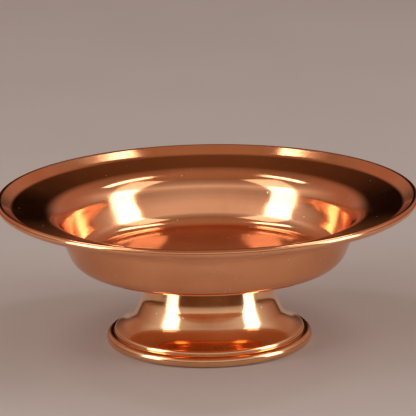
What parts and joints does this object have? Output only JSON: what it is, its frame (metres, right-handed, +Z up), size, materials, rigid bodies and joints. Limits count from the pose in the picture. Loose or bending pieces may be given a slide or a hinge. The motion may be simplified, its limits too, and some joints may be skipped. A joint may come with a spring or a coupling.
{
  "type": "footed offering bowl",
  "caption": "Low round offering bowl with a wide flared brim and folded lip, standing on a trumpet-shaped foot with a rolled bead.",
  "frame": {"origin": "on the surface that the bowl stands on, under the middle of the foot", "axes": "+Z up the bowl's axis of symmetry, towards the open dish; X and Y are any two level directions"},
  "size_m": [0.09, 0.09, 0.032],
  "materials": {
    "dish_copper": "mirror-polished copper",
    "foot_brass": "mirror-polished yellow brass-toned copper alloy",
    "bead_wire": "drawn wire, dull",
    "braze": "filed braze, satin"
  },
  "bodies": {
    "root": {"dish": "dish_copper", "foot": "foot_brass", "bead_wire": "bead_wire", "braze_seam": "braze"}
  },
  "joints": []
}
